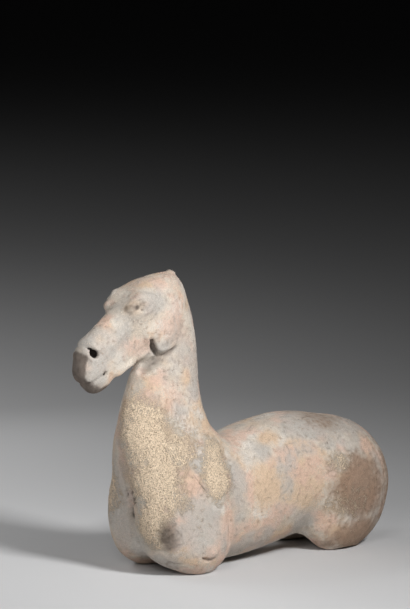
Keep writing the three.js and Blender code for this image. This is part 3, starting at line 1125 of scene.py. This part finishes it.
    def _bumps(
        self, board: NodeBoard, masks: dict, middle: bpy.types.NodeSocket, fine: bpy.types.NodeSocket
    ) -> bpy.types.NodeSocket:
        """Makes the bumps: sand where the crust lies, fine tooth elsewhere.

        Args:
            board: The material's nodes.
            masks: The mask of each tone.
            middle: Noise of about a centimetre.
            fine: Noise of a few millimetres.

        Returns:
            The bent normal.
        """
        sand_share = board.math("MULTIPLY_ADD", masks[Tone.CRUST], 2.2, 0.35)
        height = board.math("MULTIPLY", fine, sand_share)
        height = board.math("ADD", height, board.math("MULTIPLY", middle, 0.6))
        bump = board.add("ShaderNodeBump")
        bump.inputs["Strength"].default_value = 1.0
        bump.inputs["Distance"].default_value = 0.0016
        board.join(height, bump.inputs["Height"])
        return bump.outputs["Normal"]


@dataclass(frozen=True)
class PaperFinish:
    """The pale paper of the floor."""

    colour: Point = (0.64, 0.64, 0.645, 1.0)
    roughness: float = 0.9

    def build(self) -> bpy.types.Material:
        """Builds the paper material.

        Returns:
            The material.
        """
        material = bpy.data.materials.new("pale_paper")
        material.use_nodes = True
        shader = material.node_tree.nodes["Principled BSDF"]
        shader.inputs["Base Color"].default_value = self.colour
        shader.inputs["Roughness"].default_value = self.roughness
        shader.inputs["Specular IOR Level"].default_value = 0.1
        return material


@dataclass
class ClayHorse:
    """The whole horse: one clay skin, refined from the solid, carved, crusted and toned."""

    node: str = "horse"
    subdivisions: int = 2
    voxel: float = 3.15
    seed: int = 7
    head: HeadCarving = HeadCarving()
    tuft: TuftCarving = TuftCarving()
    breast: BreastCarving = BreastCarving()
    stumps: StumpCarving = StumpCarving()
    haunch: HaunchCarving = HaunchCarving()
    crust: SandyCrust = SandyCrust()
    tones: WeatheredTones = WeatheredTones()
    finish: ClayFinish = ClayFinish()

    def build(self) -> bpy.types.Object:
        """Builds the horse, gives it its material and its body, and hides the solid that it replaces.

        Returns:
            The horse.
        """
        piece = self._refined()
        self._relief(piece)
        piece.data.materials.clear()
        piece.data.materials.append(self.finish.build())
        piece.data.polygons.foreach_set("use_smooth", [True] * len(piece.data.polygons))
        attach(piece, "root")
        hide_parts(self.node)
        return piece

    def _refined(self) -> bpy.types.Object:
        """Copies the solid's skin, joins it to quads, smooths it and gives it even, fine faces.

        Returns:
            The horse before it is carved.
        """
        mesh = bpy.data.meshes.new("horse_clay")
        shell = bmesh.new()
        shell.from_mesh(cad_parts[self.node].data)
        bmesh.ops.remove_doubles(shell, verts=shell.verts, dist=1e-6)
        bmesh.ops.join_triangles(
            shell,
            faces=shell.faces,
            angle_face_threshold=math.radians(50),
            angle_shape_threshold=math.radians(120),
        )
        shell.to_mesh(mesh)
        shell.free()
        piece = bpy.data.objects.new("horse_clay", mesh)
        bpy.context.scene.collection.objects.link(piece)
        smooth = piece.modifiers.new("smooth", "SUBSURF")
        smooth.levels = smooth.render_levels = self.subdivisions
        even = piece.modifiers.new("even", "REMESH")
        even.mode = "VOXEL"
        even.voxel_size = self.voxel * MM
        even.adaptivity = 0.0
        bpy.context.view_layer.update()
        scene_graph = bpy.context.evaluated_depsgraph_get()
        fine = bpy.data.meshes.new_from_object(piece.evaluated_get(scene_graph))
        piece.modifiers.clear()
        piece.data = fine
        fine.name = "horse_clay"
        bpy.data.meshes.remove(mesh)
        return piece

    def _relief(self, piece: bpy.types.Object) -> None:
        """Carves the skin, keeps it in the solid's box and stores the tones on it.

        Args:
            piece: The horse.
        """
        mesh = piece.data
        count = len(mesh.vertices)
        places = np.zeros(count * 3)
        mesh.vertices.foreach_get("co", places)
        normals = np.zeros(count * 3)
        mesh.vertex_normals.foreach_get("vector", normals)
        skin = ClaySkin(places.reshape(-1, 3) / MM, normals.reshape(-1, 3), ClayNoise(self.seed))
        for carving in (self.head, self.tuft, self.breast, self.stumps, self.haunch):
            carving.carve(skin)
        self.crust.lay(skin)
        self.tones.lay(skin)
        standing = smooth_step(0.0, 3.0, skin.places[:, 2])
        moved = skin.places + skin.normals * (skin.lift * standing)[:, None]
        low, high = (np.array(corner) / MM for corner in CAD_BOX)
        moved = np.clip(moved, low, high)
        mesh.vertices.foreach_set("co", (moved * MM).ravel())
        for tone, mask in skin.tones.items():
            layer = mesh.attributes.new(tone.value, "FLOAT", "POINT")
            layer.data.foreach_set("value", np.clip(mask, 0.0, 1.0))
        mesh.update()


@dataclass(frozen=True)
class SoftLamp:
    """A soft square lamp.

    Attributes:
        name: Its name.
        place: Where it hangs, in metres.
        aim: The point that it looks at, in metres.
        size: Its width, in metres.
        power: Its power, in watts.
        spread: How wide its beam is, in degrees.
    """

    name: str
    place: Point
    aim: Point
    size: float
    power: float
    spread: float = 180.0

    def build(self) -> bpy.types.Object:
        """Hangs the lamp.

        Returns:
            The lamp.
        """
        data = bpy.data.lights.new(self.name, "AREA")
        data.size = self.size
        data.energy = self.power
        data.spread = math.radians(self.spread)
        lamp = bpy.data.objects.new(self.name, data)
        lamp.location = self.place
        lamp.rotation_euler = (Vector(self.aim) - Vector(self.place)).to_track_quat("-Z", "Y").to_euler()
        bpy.context.scene.collection.objects.link(lamp)
        return lamp


@dataclass(frozen=True)
class Studio:
    """The pale floor, the soft lamps and the camera."""

    floor_radius: float = 60.0
    floor_finish: PaperFinish = PaperFinish()
    lamps: tuple[SoftLamp, ...] = (
        SoftLamp("key_lamp", (1.9, -0.2, 1.6), (-0.1, -0.25, 0.25), 0.45, 11.0, 80.0),
        SoftLamp("front_lamp", (1.3, -1.8, 1.1), (0.0, -0.15, 0.25), 0.8, 14.5),
        SoftLamp("side_fill", (-0.7, -1.15, 0.6), (0.0, -0.15, 0.25), 0.6, 1.2),
        SoftLamp("left_floor_lamp", (-1.5, -1.0, 1.6), (-1.8, -0.6, 0.0), 0.8, 13.0),
        SoftLamp("backdrop_lamp", (-3.2, -0.6, 3.0), (-4.6, 0.4, 0.0), 1.2, 30.0),
        SoftLamp("far_lamp", (-8.0, 2.0, 5.0), (-10.0, 3.0, 0.0), 2.0, 8.0),
        SoftLamp("rear_fill", (-1.6, 0.5, 0.8), (0.0, 0.0, 0.2), 0.8, 1.2),
    )
    ambient: float = 0.002
    camera_place: Point = (4.4305, -4.0479, 1.2069)
    camera_tilt: float = 83.2
    camera_turn: float = 48.0
    camera_lens: float = 186.9

    def build(self) -> None:
        """Sets up the floor, the lamps, the dim room and the camera."""
        self._floor()
        for lamp in self.lamps:
            lamp.build()
        world = bpy.data.worlds.new("dim_room")
        world.use_nodes = True
        world.node_tree.nodes["Background"].inputs["Color"].default_value = (1.0, 1.0, 1.0, 1.0)
        world.node_tree.nodes["Background"].inputs["Strength"].default_value = self.ambient
        bpy.context.scene.world = world
        bpy.context.scene.view_settings.view_transform = "Standard"
        self._camera()

    def _floor(self) -> None:
        """Lays the floor."""
        mesh = bpy.data.meshes.new("studio_floor")
        disc = bmesh.new()
        bmesh.ops.create_circle(disc, cap_ends=True, radius=self.floor_radius, segments=96)
        disc.to_mesh(mesh)
        disc.free()
        mesh.materials.append(self.floor_finish.build())
        floor = bpy.data.objects.new("studio_floor", mesh)
        bpy.context.scene.collection.objects.link(floor)

    def _camera(self) -> None:
        """Places the camera."""
        data = bpy.data.cameras.new("studio_camera")
        data.lens = self.camera_lens
        data.sensor_width = 36.0
        data.clip_end = 200.0
        camera = bpy.data.objects.new("studio_camera", data)
        camera.location = self.camera_place
        camera.rotation_euler = Euler((math.radians(self.camera_tilt), 0.0, math.radians(self.camera_turn)))
        bpy.context.scene.collection.objects.link(camera)
        bpy.context.scene.camera = camera


def main() -> None:
    """Builds the horse and its studio, and reports each piece."""
    logging.basicConfig(level=logging.INFO, format="%(name)s: %(message)s")
    horse = ClayHorse().build()
    LOG.info("%s: %d faces", horse.name, len(horse.data.polygons))
    Studio().build()
    LOG.info("studio: floor, lamps and camera")


if __name__ == "__main__":
    main()
